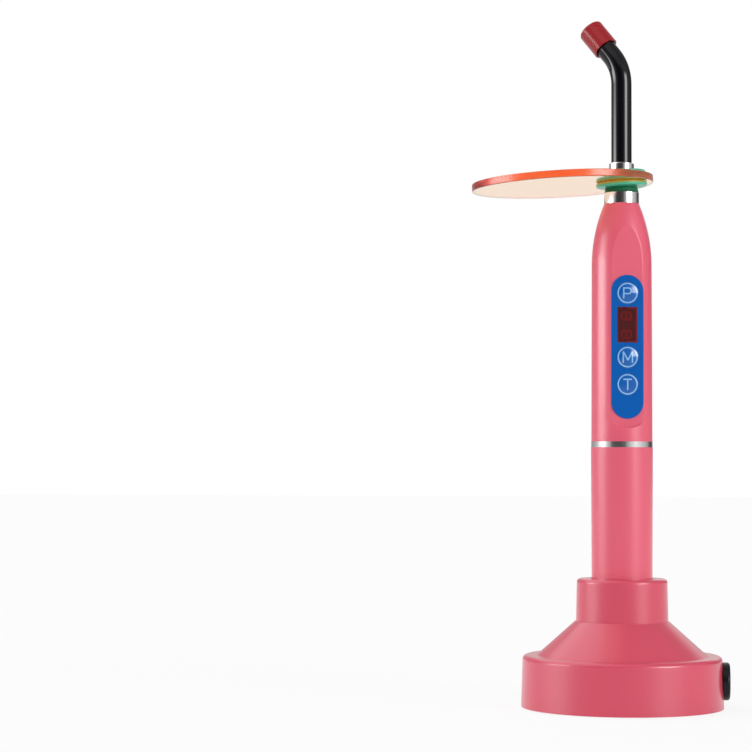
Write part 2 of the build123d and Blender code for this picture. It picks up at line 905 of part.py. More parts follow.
def make_display_segments():
    """Two seven-segment figures that read across the handpiece, one above the other."""
    middle = (window_low_z + window_high_z) / 2
    across = digit_height / 2 - segment_width
    bar = digit_width - segment_width - 2 * segment_gap
    post = across - 2 * segment_gap
    segments = []
    for digit in (-0.5, 0.5):
        centre = middle + digit * digit_pitch
        for step in (-1, 0, 1):
            segments.append((segment_width, bar, step * across, centre))
            if step:
                for side in (-1, 1):
                    y = centre + side * (digit_width - segment_width) / 2
                    segments.append((post, segment_width, step * across / 2, y))
    low = display_top()
    return [FACET * slab(wide, tall, low, low + segment_relief, x, y) for wide, tall, x, y in segments]


def make_main_board():
    board = slab(
        main_board_width, main_board_high_z - main_board_low_z, main_board_back, main_board_offset,
        y=(main_board_low_z + main_board_high_z) / 2,
    )
    for z in (main_boss_low_z, main_boss_high_z):
        board -= disc(screw_radius + thread_clearance, main_board_back, main_board_offset, 0, z)
    return FACET * board


def make_main_board_screws():
    """Two screws from behind the board into the front shell's bosses."""
    head_back = main_board_back - screw_head_height
    length = board_thickness + front_wall_offset - main_board_offset
    return [FACET * screw(length, 0, z, head_back) for z in (main_boss_low_z, main_boss_high_z)]


def make_main_board_parts():
    """Microcontroller, lamp driver and its coil on the back of the main board."""
    back = main_board_back
    return [
        FACET * slab(controller_size, controller_size, back - controller_height, back, y=controller_z),
        FACET * slab(coil_size, coil_size, back - coil_height, back, y=coil_z),
        FACET * slab(driver_size, driver_size, back - driver_height, back, y=driver_z),
    ]


def make_buzzer():
    low = main_board_back - buzzer_height
    body = disc(buzzer_radius, low, main_board_back, 0, buzzer_z)
    body -= disc(buzzer_radius / 5, low, low + buzzer_height / 4, 0, buzzer_z)
    return FACET * body


def make_handpiece_wires():
    """Two leads from the battery contact to the board, and two from the board to the lamp."""
    wires = []
    for side in (-1, 1):
        x = side * battery_wire_spacing / 2
        bend_z = main_board_low_z + 2 * wire_radius
        route = FilletPolyline((x, contact_holder_top_z, 0), (x, bend_z, 0), (x, bend_z, main_board_back),
                               radius=0.45 * main_board_back)
        section = Plane(origin=route @ 0, z_dir=route % 0) * Circle(wire_radius)
        wires.append(FACET * sweep(section, path=route))
    middle = main_board_offset - board_thickness / 2
    for side in (-1, 1):
        place = FACET * Pos(side * led_wire_spacing / 2, main_board_high_z, middle) * Rot(-90, 0, 0)
        wires.append(place * Cylinder(wire_radius, led_board_z - main_board_high_z, align=UPRIGHT))
    return wires


# Light source

def make_heat_sink():
    sink = disc(heat_sink_radius, heat_sink_low_z, led_board_z)
    middle = main_board_offset - board_thickness / 2
    for side in (-1, 1):
        place = FACET * Pos(side * led_wire_spacing / 2, heat_sink_low_z, middle) * Rot(-90, 0, 0)
        sink -= place * Cylinder(1.5 * wire_radius, heat_sink_height, align=UPRIGHT)
    return sink


def make_led_board():
    return disc(led_board_radius, led_board_z, lens_z)


def make_led_emitter():
    base_top = lens_z + emitter_base_height
    chip = slab(emitter_size, emitter_size, lens_z, base_top)
    dome = Pos(0, 0, base_top) * Sphere(emitter_dome_radius)
    return chip + (dome & disc(emitter_dome_radius, base_top, base_top + 2 * emitter_dome_radius))


def make_collimator_lens():
    """A clear cone that gathers the lamp's light into the guide; its foot spans the lamp's chip."""
    top = lens_z + lens_height
    lens = turned([(0, lens_z), (lens_foot_radius, lens_z), (lens_top_radius, top), (0, top)])
    pocket = emitter_size + 2 * collar_gap
    lens -= slab(pocket, pocket, lens_z, lens_z + emitter_base_height + glue_gap)
    return lens - disc(lens_pocket_radius, lens_z, lens_z + lens_pocket_height)


def make_nose_collar():
    low = nose_end_z - collar_spigot_length
    collar = disc(nose_radius, nose_end_z, collar_top_z)
    collar = chamfer(rim(collar, nose_radius, collar_top_z), ferrule_edge)
    collar += disc(collar_spigot_radius, low, nose_end_z)
    collar -= disc(collar_bore_radius, low, collar_top_z)
    groove_middle = nose_end_z + seal_height_in_collar
    groove_half = seal_section_radius + running_gap
    groove_radius = collar_bore_radius + 2 * seal_section_radius + running_gap
    return collar - disc(groove_radius, groove_middle - groove_half, groove_middle + groove_half)


def make_guide_seal():
    middle = nose_end_z + seal_height_in_collar
    return Pos(0, 0, middle) * Torus(collar_bore_radius + seal_section_radius, seal_section_radius)


# Light guide

def lean_direction():
    """Unit vector along the guide's tip, after its bend."""
    bend = radians(guide_bend_angle)
    turn = radians(guide_lean_turn)
    return Vector(-sin(bend) * cos(turn), sin(bend) * sin(turn), cos(bend))


def guide_bend_end():
    bend = radians(guide_bend_angle)
    turn = radians(guide_lean_turn)
    reach = guide_bend_radius * (1 - cos(bend))
    height = guide_bend_z + guide_bend_radius * sin(bend)
    return Vector(-reach * cos(turn), reach * sin(turn), height)


def cap_mouth():
    return guide_bend_end() + lean_direction() * guide_run_to_cap


def guide_tip():
    return cap_mouth() + lean_direction() * (cap_length - cap_end_wall - cap_clearance)


def guide_path():
    foot = Vector(0, 0, guide_foot_z)
    bend_start = Vector(0, 0, guide_bend_z)
    straight = Line(foot, bend_start)
    bend = TangentArc(bend_start, guide_bend_end(), tangent=(0, 0, 1))
    run = Line(guide_bend_end(), guide_tip())
    return Wire([straight.edge(), bend.edge(), run.edge()])


def make_guide_core():
    section = Pos(0, 0, guide_foot_z) * Circle(guide_radius - coating_thickness)
    return sweep(section, path=guide_path())


def make_guide_coating():
    section = Circle(guide_radius) - Circle(guide_radius - coating_thickness)
    return sweep(Pos(0, 0, guide_foot_z) * section, path=guide_path())


def make_guide_ferrule():
    ferrule = disc(ferrule_radius, ferrule_low_z, ferrule_top_z)
    ferrule = chamfer(rim(ferrule, ferrule_radius, ferrule_top_z), ferrule_edge)
    return ferrule - disc(ferrule_bore_radius, ferrule_low_z, ferrule_top_z)


def make_tip_cap():
    body = disc(cap_radius, 0, cap_length)
    body = fillet(body.edges().group_by(Axis.Z)[-1], cap_round)
    body -= disc(guide_radius + cap_clearance, 0, cap_length - cap_end_wall)
    mouth = body.edges().group_by(Axis.Z)[0].sort_by(SortBy.LENGTH)[0]
    body = chamfer(mouth, cap_round / 3)
    return Plane(origin=cap_mouth(), z_dir=lean_direction()).location * body


# Shield

def make_light_shield():
    turn = radians(shield_turn)
    centre_x = -shield_offset * cos(turn)
    centre_y = shield_offset * sin(turn)
    plate = disc(shield_radius, 0, shield_thickness, centre_x, centre_y)
    plate = fillet(plate.edges(), shield_edge)
    return SHIELD * (plate - disc(shield_waist_radius, 0, shield_thickness))


def make_shield_grommet():
    """Two flanges that grip the shield, on a skirt that stands over the nose collar."""
    low_flange = disc(grommet_radius, -grommet_low_thickness, 0)
    low_flange = fillet(rim(low_flange, grommet_radius, -grommet_low_thickness), grommet_round)
    low_flange = fillet(rim(low_flange, grommet_radius, 0), grommet_round)
    top_z = shield_thickness + grommet_top_thickness
    top_flange = disc(grommet_top_radius, shield_thickness, top_z)
    top_flange = fillet(rim(top_flange, grommet_top_radius, top_z), grommet_round)
    grommet = SHIELD * (low_flange + top_flange + disc(grommet_waist_radius, 0, shield_thickness))
    skirt_z = collar_top_z + grommet_seat_gap
    grommet += turned([
        (0, skirt_z), (skirt_foot_radius, skirt_z), (skirt_top_radius, skirt_z + skirt_height),
        (0, skirt_z + skirt_height),
    ])
    return grommet - disc(collar_bore_radius, skirt_z, ferrule_top_z)


pin_centre, pin_outer = pin_places()

PARTS = {
    "base_shell": make_base_shell(),
    "base_neck": make_base_neck(),
    "base_cup": make_base_cup(),
    "bottom_plate": make_bottom_plate(),
    "base_screws": make_base_screws(),
    "rubber_feet": make_rubber_feet(),
    "ballast_weight": make_ballast_weight(),
    "charging_board": make_charging_board(),
    "charging_board_screws": make_charging_board_screws(),
    "charging_board_parts": make_charging_board_parts(),
    "contact_carrier": make_contact_carrier(),
    "charging_pin_barrels": make_pin_barrels(),
    "charging_pin_centre": make_charging_pin(*pin_centre),
    "charging_pin_outer": make_charging_pin(*pin_outer),
    "pin_spring_centre": make_pin_spring(*pin_centre),
    "pin_spring_outer": make_pin_spring(*pin_outer),
    "inlet_socket": make_inlet_socket(),
    "inlet_pin": make_inlet_pin(),
    "inlet_nut": make_inlet_nut(),
    "inlet_terminals": make_inlet_terminals(),
    "inlet_wires": make_inlet_wires(),
    "rear_tube": make_rear_tube(),
    "tail_cap": make_tail_cap(),
    "tail_contacts": make_tail_contacts(),
    "charge_strip": make_charge_strip(),
    "battery_spring": make_battery_spring(),
    "battery_liner": make_battery_liner(),
    "battery_cell": make_battery_cell(),
    "cell_contact": make_cell_contact(),
    "contact_holder": make_contact_holder(),
    "joint_ring": make_joint_ring(),
    "front_shell": make_front_shell(),
    "control_panel": make_control_panel(),
    "display_window": make_display_window(),
    "display_module": make_display_module(),
    "display_segments": make_display_segments(),
    "main_board": make_main_board(),
    "main_board_screws": make_main_board_screws(),
    "main_board_parts": make_main_board_parts(),
    "buzzer": make_buzzer(),
    "tact_switches": make_tact_switches(),
    "handpiece_wires": make_handpiece_wires(),
    "heat_sink": make_heat_sink(),
    "led_board": make_led_board(),
    "led_emitter": make_led_emitter(),
    "collimator_lens": make_collimator_lens(),
    "nose_collar": make_nose_collar(),
    "guide_seal": make_guide_seal(),
    "guide_core": make_guide_core(),
    "guide_coating": make_guide_coating(),
    "guide_ferrule": make_guide_ferrule(),
    "tip_cap": make_tip_cap(),
    "light_shield": make_light_shield(),
    "shield_grommet": make_shield_grommet(),
}

for name in button_z:
    PARTS[f"button_{name}"] = make_button(name)
    PARTS[f"switch_actuator_{name}"] = make_actuator(name)

for node, shape in PARTS.items():
    if isinstance(shape, list):
        shape = Compound(children=[piece.solid() for piece in shape])
    export_step(shape, f"parts/{node}.step")

print("bend end", guide_bend_end(), "cap mouth", cap_mouth(), "tip direction", lean_direction())
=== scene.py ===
import bpy
import json
from math import cos, pi, radians, sin
from mathutils import Matrix, Vector
from mathutils.bvhtree import BVHTree

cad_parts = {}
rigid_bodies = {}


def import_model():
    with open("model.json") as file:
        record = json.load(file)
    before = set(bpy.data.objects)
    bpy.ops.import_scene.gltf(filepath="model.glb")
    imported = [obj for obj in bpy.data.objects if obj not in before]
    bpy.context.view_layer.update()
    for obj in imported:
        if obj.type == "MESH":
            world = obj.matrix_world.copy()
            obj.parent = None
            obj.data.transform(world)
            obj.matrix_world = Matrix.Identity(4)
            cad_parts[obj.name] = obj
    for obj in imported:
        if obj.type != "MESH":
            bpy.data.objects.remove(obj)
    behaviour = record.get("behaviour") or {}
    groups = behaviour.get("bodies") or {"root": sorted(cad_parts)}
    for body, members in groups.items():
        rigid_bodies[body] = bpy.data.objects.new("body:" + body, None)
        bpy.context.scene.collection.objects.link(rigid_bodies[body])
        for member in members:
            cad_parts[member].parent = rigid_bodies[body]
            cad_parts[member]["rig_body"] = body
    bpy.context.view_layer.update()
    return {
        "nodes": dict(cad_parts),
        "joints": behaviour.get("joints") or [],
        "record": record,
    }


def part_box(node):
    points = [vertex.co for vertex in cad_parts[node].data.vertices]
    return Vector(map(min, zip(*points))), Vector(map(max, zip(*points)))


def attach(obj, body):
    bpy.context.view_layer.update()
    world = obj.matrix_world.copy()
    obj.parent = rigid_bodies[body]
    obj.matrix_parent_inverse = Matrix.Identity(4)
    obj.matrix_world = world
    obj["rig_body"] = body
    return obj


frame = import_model()

# Looks of a cordless dental curing light in its round charging base. Metres, +Z up, the buttons face -Y.

MM = 0.001

# Camera, as the photograph was taken: on the -Y side, a little above the neck of the base
camera_distance = 933.38 * MM
camera_height = 97.27 * MM
camera_yaw = 0.10590
camera_pitch = 0.03770
camera_roll = 0.00270
focal_length_px = 2313.67
image_width_px = 752
sensor_width = 36.0
camera_near = 0.01
camera_far = 50

# Legends printed on the buttons. Their points are dropped onto the domes from the drop height.
ring_radius = 3.82 * MM
ring_line = 0.5 * MM
letter_height = 4.5 * MM
letter_line = 0.54 * MM
print_lift = 0.03 * MM
print_step = 0.12 * MM
ink_share = 0.8
drop_height = 30 * MM
arc_least_steps = 4

# The letters' proportions, as shares of their height, and the notch of the M as a share of half of it
p_stem_reach = 0.36
p_bowl_radius = 0.25
p_bowl_straight = 0.05
m_reach = 0.41
m_notch = 0.55
t_reach = 0.38

# The shield's lower face, which tilts about the guide, and the grommet's flange under it
shield_height = 210.55 * MM
shield_thickness = 3.0 * MM
shield_tilt = 2.8
shield_lean_turn = 6.5
grommet_flange = 1.9 * MM

# Where the grommet's painted light and shade change. Its painted shade in the skirt ends under its flange.
# Its painted yellow light from the shield starts and is full this far under the shield's lower face, and
# fades this far over its upper face.
skirt_shade_fade = 0.3 * MM
painted_light_start = 1.05 * MM
painted_light_full = 0.75 * MM
painted_light_fade_start = 0.05 * MM
painted_light_fade_end = 0.15 * MM

# The shield's rim has a painted glow where its surface lies less level than this, from all to nothing. Its
# two ends have painted shade with painted glints instead, which fade in between these two values of X.
rim_level = (0.75, 0.95)
free_end_x = (-54 * MM, -44 * MM)
guide_end_x = (-10 * MM, 4 * MM)
shield_density = 165

# Features per metre in the slow drift of colour and gloss
plastic_drift = 45
plastic_gloss_drift = 140
metal_drift = 180

# How far a metal's roughness swings about its mean, as a share of it
metal_gloss_swing = 0.06

# The panel's and the buttons' ink, full and thin
blue_ink = (0.0010, 0.100, 0.420)
blue_ink_thin = (0.0008, 0.093, 0.390)

# Floor
floor_reach = 6.0
floor_white = 0.82
floor_glow = 0.88
floor_glossy_glow = 0.60


def arithmetic(tree, operation, first, second):
    """A math node; each side is a number or another node's output."""
    made = tree.nodes.new("ShaderNodeMath")
    made.operation = operation
    for index, value in enumerate((first, second)):
        if isinstance(value, (int, float)):
            made.inputs[index].default_value = value
        else:
            tree.links.new(value, made.inputs[index])
    return made.outputs["Value"]


def mixed_shader(tree, share, first, second):
    """Two shaders in one: the share is how much of the second shows."""
    made = tree.nodes.new("ShaderNodeMixShader")
    for index, value in enumerate((share, first, second)):
        tree.links.new(value, made.inputs[index])
    return made.outputs["Shader"]


class Finish:
    """A node material around one Principled shader, with short calls for its textures."""

    def __init__(self, name):
        self.material = bpy.data.materials.new(name)
        self.material.use_nodes = True
        self.tree = self.material.node_tree
        self.shader = self.tree.nodes["Principled BSDF"]
        self.place = self.node("ShaderNodeTexCoord").outputs["Object"]

    def node(self, kind, **settings):
        made = self.tree.nodes.new(kind)
        for key, value in settings.items():
            setattr(made, key, value)
        return made

    def link(self, source, target):
        self.tree.links.new(source, target)

    def set(self, **values):
        """Plain values on the shader's own sockets; an underscore stands for a space."""
        for key, value in values.items():
            self.shader.inputs[key.replace("_", " ")].default_value = value
        return self

    def stretched(self, x, y, z):
        """The object's coordinates, scaled by axis, for brushed or fibrous grain."""
        mapping = self.node("ShaderNodeMapping")
        mapping.inputs["Scale"].default_value = (x, y, z)
        self.link(self.place, mapping.inputs["Vector"])
        return mapping.outputs["Vector"]

    def noise(self, scale, detail=2.0, place=None):
        """Noise with about `scale` features per metre."""
        made = self.node("ShaderNodeTexNoise")
        made.inputs["Scale"].default_value = scale
        made.inputs["Detail"].default_value = detail
        self.link(place or self.place, made.inputs["Vector"])
        return made.outputs["Fac"]

    def cells(self, scale):
        made = self.node("ShaderNodeTexVoronoi")
        made.inputs["Scale"].default_value = scale
        self.link(self.place, made.inputs["Vector"])
        return made.outputs["Distance"]

    def bands(self, scale, direction):
        made = self.node("ShaderNodeTexWave", wave_type="BANDS", bands_direction=direction)
        made.inputs["Scale"].default_value = scale
        self.link(self.place, made.inputs["Vector"])
        return made.outputs["Fac"]

    def ramped(self, factor, low, high, start=0.0, end=1.0):
        """Maps start..end of a factor to low..high."""
        made = self.node("ShaderNodeMapRange")
        made.inputs["From Min"].default_value = start
        made.inputs["From Max"].default_value = end
        made.inputs["To Min"].default_value = low
        made.inputs["To Max"].default_value = high
        self.link(factor, made.inputs["Value"])
        return made.outputs["Result"]

    def mixed(self, factor, first, second):
        """A colour between two, each a tuple or another node's output."""
        made = self.node("ShaderNodeMix", data_type="RGBA")
        self.link(factor, made.inputs["Factor"])
        for key, value in ((6, first), (7, second)):
            if isinstance(value, tuple):
                made.inputs[key].default_value = (*value, 1)
            else:
                self.link(value, made.inputs[key])
        return made.outputs[2]

    def colour(self, factor, first, second):
        self.link(self.mixed(factor, first, second), self.shader.inputs["Base Color"])
        return self

    def gloss(self, factor, low, high, start=0.3, end=0.7):
        self.link(self.ramped(factor, low, high, start, end), self.shader.inputs["Roughness"])
        return self

    def bump(self, height, distance):
        made = self.node("ShaderNodeBump")
        made.inputs["Strength"].default_value = 1.0
        made.inputs["Distance"].default_value = distance
        self.link(height, made.inputs["Height"])
        self.link(made.outputs["Normal"], self.shader.inputs["Normal"])
        return self


def moulded(name, colour, shade, roughness, grain=2500, depth=0.004 * MM, spread=0.03):
    """Moulded plastic or rubber: a slow drift of colour, uneven gloss and a fine grain."""
    finish = Finish(name)
    finish.colour(finish.noise(plastic_drift, 3), shade, colour)
    finish.gloss(finish.noise(plastic_gloss_drift, 2), roughness - spread, roughness + spread, 0.2, 0.8)
    return finish.bump(finish.noise(grain, 3), depth)


def metal(name, colour, shade, roughness, stretch=(1, 1, 12), grain=700, depth=0.0015 * MM):
    """Metal with a directional grain; stretch says which way its fine lines run."""
    finish = Finish(name)
    lines = finish.noise(grain, 3, finish.stretched(*stretch))
    finish.set(Metallic=1.0)
    finish.colour(finish.noise(metal_drift, 3), shade, colour)
    finish.gloss(lines, roughness * (1 - metal_gloss_swing), roughness * (1 + metal_gloss_swing))
    return finish.bump(lines, depth)


# Plastics and rubber

# The body's pink made darker for the base: painted shade, as the base stands lower and gets less light.
def base_plastic(name):
    finish = moulded(name, (0.640, 0.065, 0.116), (0.612, 0.059, 0.106), 0.30, grain=320, depth=0.0015 * MM,
                     spread=0.01)
    return finish.set(IOR=1.5, Coat_Weight=0.4, Coat_Roughness=0.12)


def body_plastic(name):
    finish = moulded(name, (0.745, 0.105, 0.168), (0.720, 0.097, 0.157), 0.30, grain=320, depth=0.0012 * MM,
                     spread=0.01)
    return finish.set(IOR=1.5, Coat_Weight=0.3, Coat_Roughness=0.14)


def black_plastic(name):
    return moulded(name, (0.020, 0.020, 0.022), (0.013, 0.013, 0.015), 0.48, grain=1800, depth=0.02 * MM)


def inlet_plastic(name):
    return moulded(name, (0.008, 0.008, 0.009), (0.005, 0.005, 0.006), 0.30, grain=500, depth=0.002 * MM,
                   spread=0.01).set(Specular_IOR_Level=0.25)


def grey_plastic(name):
    return moulded(name, (0.31, 0.31, 0.33), (0.26, 0.26, 0.28), 0.5, grain=1800, depth=0.01 * MM)


def foot_rubber(name):
    return moulded(name, (0.035, 0.035, 0.036), (0.022, 0.022, 0.023), 0.75, grain=1400, depth=0.03 * MM)


def seal_rubber(name):
    return moulded(name, (0.05, 0.05, 0.052), (0.03, 0.03, 0.032), 0.45, grain=2200, depth=0.008 * MM)


def grommet_rubber(name):
    """Green silicone, with painted shade in its skirt and painted yellow light from the shield where that
    covers it.
    """
    finish = Finish(name)
    tilt, turn = radians(shield_tilt), radians(shield_lean_turn)
    normal = Vector((-sin(tilt) * cos(turn), -sin(tilt) * sin(turn), cos(tilt)))
    over = finish.node("ShaderNodeVectorMath", operation="DOT_PRODUCT")
    over.inputs[1].default_value = normal
    finish.link(finish.place, over.inputs[0])
    height = over.outputs["Value"]
    face = normal.z * shield_height
    top = face + shield_thickness
    # Painted shade: the skirt under the flange is darker. Painted light: a yellow band where the shield
    # covers the grommet.
    skirt = finish.ramped(height, 1.0, 0.0, face - grommet_flange - skirt_shade_fade, face - grommet_flange)
    lit = finish.ramped(height, 0.0, 1.0, face - painted_light_start, face - painted_light_full)
    under = finish.ramped(height, 1.0, 0.0, top + painted_light_fade_start, top + painted_light_fade_end)
    painted_light_band = arithmetic(finish.tree, "MULTIPLY", lit, under)
    drift = finish.noise(plastic_drift, 3)
    # The green's own tone, the painted shade of the skirt, and the painted yellow light from the shield
    pale = finish.mixed(drift, (0.060, 0.430, 0.260), (0.080, 0.500, 0.310))
    dark = finish.mixed(drift, (0.010, 0.120, 0.050), (0.015, 0.155, 0.065))
    glow = finish.mixed(finish.noise(220, 3), (0.50, 0.34, 0.03), (0.20, 0.26, 0.03))
    finish.colour(skirt, finish.mixed(painted_light_band, pale, glow), dark)
    finish.gloss(finish.noise(plastic_gloss_drift, 2), 0.29, 0.32)
    return finish.bump(finish.noise(420, 3), 0.002 * MM).set(IOR=1.42)


def cap_red(name):
    """Soft plastic of a deep, glossy red."""
    finish = moulded(name, (0.330, 0.0040, 0.009), (0.290, 0.0030, 0.007), 0.32, grain=300, depth=0.001 * MM,
                     spread=0.01)
    return finish.set(IOR=1.5, Specular_IOR_Level=0.3, Coat_Weight=0.35, Coat_Roughness=0.14)


def wire(name):
    finish = moulded(name, (0.50, 0.025, 0.025), (0.38, 0.018, 0.018), 0.42, grain=2500, depth=0.006 * MM)
    return finish.set(IOR=1.5)


# Metals

def steel(name):
    return metal(name, (0.60, 0.60, 0.62), (0.50, 0.50, 0.51), 0.30, stretch=(1, 1, 1), grain=2200)


def ballast_steel(name):
    return metal(name, (0.42, 0.42, 0.44), (0.30, 0.29, 0.28), 0.42, stretch=(1, 10, 1), grain=600)


def spring_steel(name):
    return metal(name, (0.66, 0.66, 0.68), (0.55, 0.54, 0.53), 0.22, stretch=(1, 1, 5), grain=1600)


def chrome(name):
    return metal(name, (0.88, 0.86, 0.86), (0.84, 0.82, 0.82), 0.11, grain=250, depth=0.0002 * MM)


def ring_chrome(name):
    """The same chrome, brushed round the ring, so what it mirrors is softer."""
    return metal(name, (0.90, 0.89, 0.89), (0.86, 0.85, 0.85), 0.085, stretch=(1, 1, 8), grain=120,
                 depth=0.0002 * MM)


def brass(name):
    return metal(name, (0.80, 0.58, 0.24), (0.68, 0.46, 0.17), 0.26, stretch=(1, 1, 6), grain=1400)


def contact_gold(name):
    return metal(name, (0.93, 0.71, 0.32), (0.86, 0.62, 0.26), 0.17, stretch=(1, 1, 1), grain=1800)


def aluminium(name):
    """Turned aluminium: its fine rings run round the part."""
    return metal(name, (0.78, 0.78, 0.80), (0.70, 0.70, 0.72), 0.28, stretch=(0.4, 0.4, 14), grain=900)


# Electronics and the battery

def board(name):
    """Green solder mask over darker board, with lighter copper runs under it."""
    finish = Finish(name)
    across = finish.ramped(finish.bands(190, "X"), 0, 1, 0.62, 0.72)
    along = finish.ramped(finish.bands(120, "Z"), 0, 1, 0.70, 0.80)
    copper = finish.mixed(across, (0.010, 0.105, 0.040), (0.030, 0.235, 0.095))
    finish.colour(along, copper, (0.026, 0.205, 0.080))
    finish.gloss(finish.noise(500, 3), 0.28, 0.42)
    return finish.bump(across, 0.02 * MM).set(IOR=1.5)


def lamp_board(name):
    finish = moulded(name, (0.84, 0.84, 0.82), (0.76, 0.76, 0.74), 0.38, grain=1800, depth=0.006 * MM)
    return finish.set(IOR=1.5)


def chip(name):
    return moulded(name, (0.022, 0.022, 0.024), (0.014, 0.014, 0.016), 0.55, grain=3600, depth=0.02 * MM)


def cell_wrap(name):
    """Shrink sleeve with faint lengthwise creases."""
    finish = Finish(name)
    creases = finish.noise(500, 3, finish.stretched(1, 1, 0.05))
    finish.colour(creases, (0.030, 0.120, 0.360), (0.050, 0.170, 0.450))
    finish.gloss(finish.noise(400, 3), 0.18, 0.30)
    return finish.bump(creases, 0.02 * MM).set(IOR=1.55)


def liner_card(name):
    """Pressed card: flecks and short fibres."""
    finish = Finish(name)
    fibres = finish.noise(1200, 5, finish.stretched(1, 1, 0.25))
    finish.colour(fibres, (0.50, 0.46, 0.38), (0.68, 0.65, 0.57))
    finish.gloss(finish.noise(600, 3), 0.75, 0.92)
    return finish.bump(fibres, 0.05 * MM)


# Control panel

def panel_blue(name):
    """Printed film: even ink, a fine matt texture and a soft gloss."""
    finish = moulded(name, blue_ink, blue_ink_thin, 0.34, grain=800, depth=0.001 * MM, spread=0.015)
    return finish.set(IOR=1.5, Specular_IOR_Level=0.08)


def button_blue(name):
    """The same ink on the glossy domes of the buttons."""
    finish = moulded(name, blue_ink, blue_ink_thin, 0.10, grain=300, depth=0.0001 * MM, spread=0.004)
    return finish.set(IOR=1.5, Specular_IOR_Level=0.5)


def print_blue(name):
    """The light ink of the rings and letters, a little thin in places."""
    finish = moulded(name, (0.270, 0.530, 0.830), (0.220, 0.460, 0.760), 0.12, grain=300, depth=0.0001 * MM,
                     spread=0.004)
    return finish.set(IOR=1.5)


def window_red(name):
    """Smoked red acrylic over the display."""
    finish = Finish(name)
    finish.colour(finish.noise(120, 2), (0.560, 0.024, 0.040), (0.500, 0.019, 0.032))
    finish.gloss(finish.noise(900, 3), 0.05, 0.09)
    finish.bump(finish.noise(2400, 2), 0.0005 * MM)
    return finish.set(Transmission_Weight=1.0, IOR=1.49, Specular_IOR_Level=0.3)


def segment_red(name):
    return moulded(name, (0.95, 0.16, 0.12), (0.85, 0.12, 0.09), 0.45, grain=4000, depth=0.004 * MM)


def display_black(name):
    return moulded(name, (0.330, 0.024, 0.030), (0.280, 0.018, 0.024), 0.6, grain=3000, depth=0.006 * MM)


# Lamp, lenses, light guide and shield

def lamp_dome(name):
    """Clear silicone over a yellow phosphor."""
    finish = Finish(name)
    finish.colour(finish.noise(2600, 3), (0.98, 0.78, 0.18), (0.90, 0.66, 0.10))
    finish.gloss(finish.noise(1500, 2), 0.10, 0.20)
    finish.bump(finish.noise(3200, 2), 0.004 * MM)
    return finish.set(Transmission_Weight=0.3, IOR=1.45)


def clear_lens(name):
    finish = Finish(name)
    finish.colour(finish.noise(200, 2), (0.97, 0.98, 1.0), (0.93, 0.95, 0.98))
    finish.gloss(finish.noise(700, 3), 0.02, 0.05)
    finish.bump(finish.noise(900, 2), 0.0008 * MM)
    return finish.set(Transmission_Weight=1.0, IOR=1.49)


def guide_glass(name):
    """The fused bundle: its end faces show the fine cells of the fibres."""
    finish = Finish(name)
    fibres = finish.cells(9000)
    finish.colour(fibres, (0.88, 0.92, 0.94), (0.97, 0.98, 0.99))
    finish.gloss(finish.noise(900, 3), 0.05, 0.12)
    finish.bump(fibres, 0.002 * MM)
    return finish.set(Transmission_Weight=0.85, IOR=1.6)


def guide_black(name):
    """The guide's smooth black coating, with the faintest unevenness in its gloss."""
    finish = moulded(name, (0.0045, 0.0040, 0.0060), (0.0030, 0.0026, 0.0040), 0.05, grain=100,
                     depth=0.0005 * MM, spread=0.004)
    return finish.set(IOR=1.42, Specular_IOR_Level=0.46)


def shield_orange(name):
    """Clear orange acrylic with a painted glow at its rim; its colour comes from the depth of plastic."""
    finish = Finish(name)
    split = finish.node("ShaderNodeSeparateXYZ")
    finish.link(finish.node("ShaderNodeTexCoord").outputs["Normal"], split.inputs["Vector"])
    level = finish.node("ShaderNodeMath", operation="ABSOLUTE")
    finish.link(split.outputs["Z"], level.inputs[0])
    rim = finish.ramped(level.outputs["Value"], 1.0, 0.0, *rim_level)
    drift = finish.noise(60, 2)
    face = finish.mixed(drift, (1.0, 1.0, 0.99), (1.0, 0.99, 0.975))
    lines = finish.noise(110, 3, finish.stretched(1, 1, 12))
    # The rim's painted glow, in faint lines
    glow = finish.mixed(lines, (1.0, 0.170, 0.040), (1.0, 0.270, 0.080))
    # Painted shade with painted glints in streaks at the rim's two ends
    painted_glint_streaks = finish.ramped(finish.noise(75, 2, finish.stretched(1, 1, 3)), 0.0, 1.0, 0.36, 0.64)
    across = finish.node("ShaderNodeSeparateXYZ")
    finish.link(finish.place, across.inputs["Vector"])
    free_end = finish.ramped(across.outputs["X"], 1.0, 0.0, *free_end_x)
    guide_end = finish.ramped(across.outputs["X"], 0.0, 1.0, *guide_end_x)
    glow = finish.mixed(free_end, glow, finish.mixed(painted_glint_streaks, (0.26, 0.016, 0.012), (0.75, 0.16, 0.11)))
    glow = finish.mixed(guide_end, glow, finish.mixed(painted_glint_streaks, (0.30, 0.055, 0.010), (0.52, 0.20, 0.10)))
    finish.colour(rim, face, glow)
    finish.link(finish.ramped(rim, 1.0, 0.40), finish.shader.inputs["Transmission Weight"])
    finish.gloss(rim, 0.02, 0.22, 0.0, 1.0)
    finish.bump(finish.noise(160, 2), 0.002 * MM)
    finish.set(IOR=1.49)
    depth = finish.node("ShaderNodeVolumeAbsorption")
    depth.inputs["Color"].default_value = (1.0, 0.60, 0.0, 1)
    depth.inputs["Density"].default_value = shield_density
    output = finish.tree.nodes["Material Output"]
    finish.link(depth.outputs["Volume"], output.inputs["Volume"])
    clear = finish.node("ShaderNodeBsdfTransparent")
    clear.inputs["Color"].default_value = (1.0, 0.86, 0.70, 1)
    shadow = finish.node("ShaderNodeLightPath").outputs["Is Shadow Ray"]
    surface = mixed_shader(finish.tree, shadow, finish.shader.outputs["BSDF"], clear.outputs["BSDF"])
    finish.link(surface, output.inputs["Surface"])
    return finish


